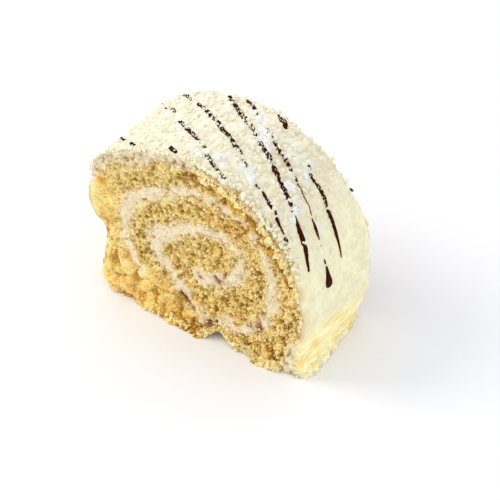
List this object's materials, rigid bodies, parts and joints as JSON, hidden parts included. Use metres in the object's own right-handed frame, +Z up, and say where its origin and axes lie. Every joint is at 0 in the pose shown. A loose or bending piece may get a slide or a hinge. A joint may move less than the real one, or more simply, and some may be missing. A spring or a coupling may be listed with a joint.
{
  "type": "swiss roll cake slice",
  "caption": "Thick slice of rolled sponge cake standing on its base, with a spiral of cream filling, a pale coating over the top and side, and chocolate drizzle.",
  "frame": {"origin": "middle of the underside of the slice, on the surface it stands on", "axes": "+X along the cut face to the coated side, +Y through the slice from the front cut face to the back one, +Z up"},
  "size_m": [0.0818, 0.0422, 0.0651],
  "materials": {
    "sponge": "open crumb of baked egg sponge, golden yellow with darker pores, matt",
    "cream": "soft whipped cream filling, pale beige, satin",
    "coating": "ivory cream coating with a crumbly top, smooth side, dark chocolate drizzle and white coconut flakes"
  },
  "bodies": {
    "root": {"sponge": "sponge", "cream_filling": "cream", "coating": "coating"}
  },
  "joints": []
}
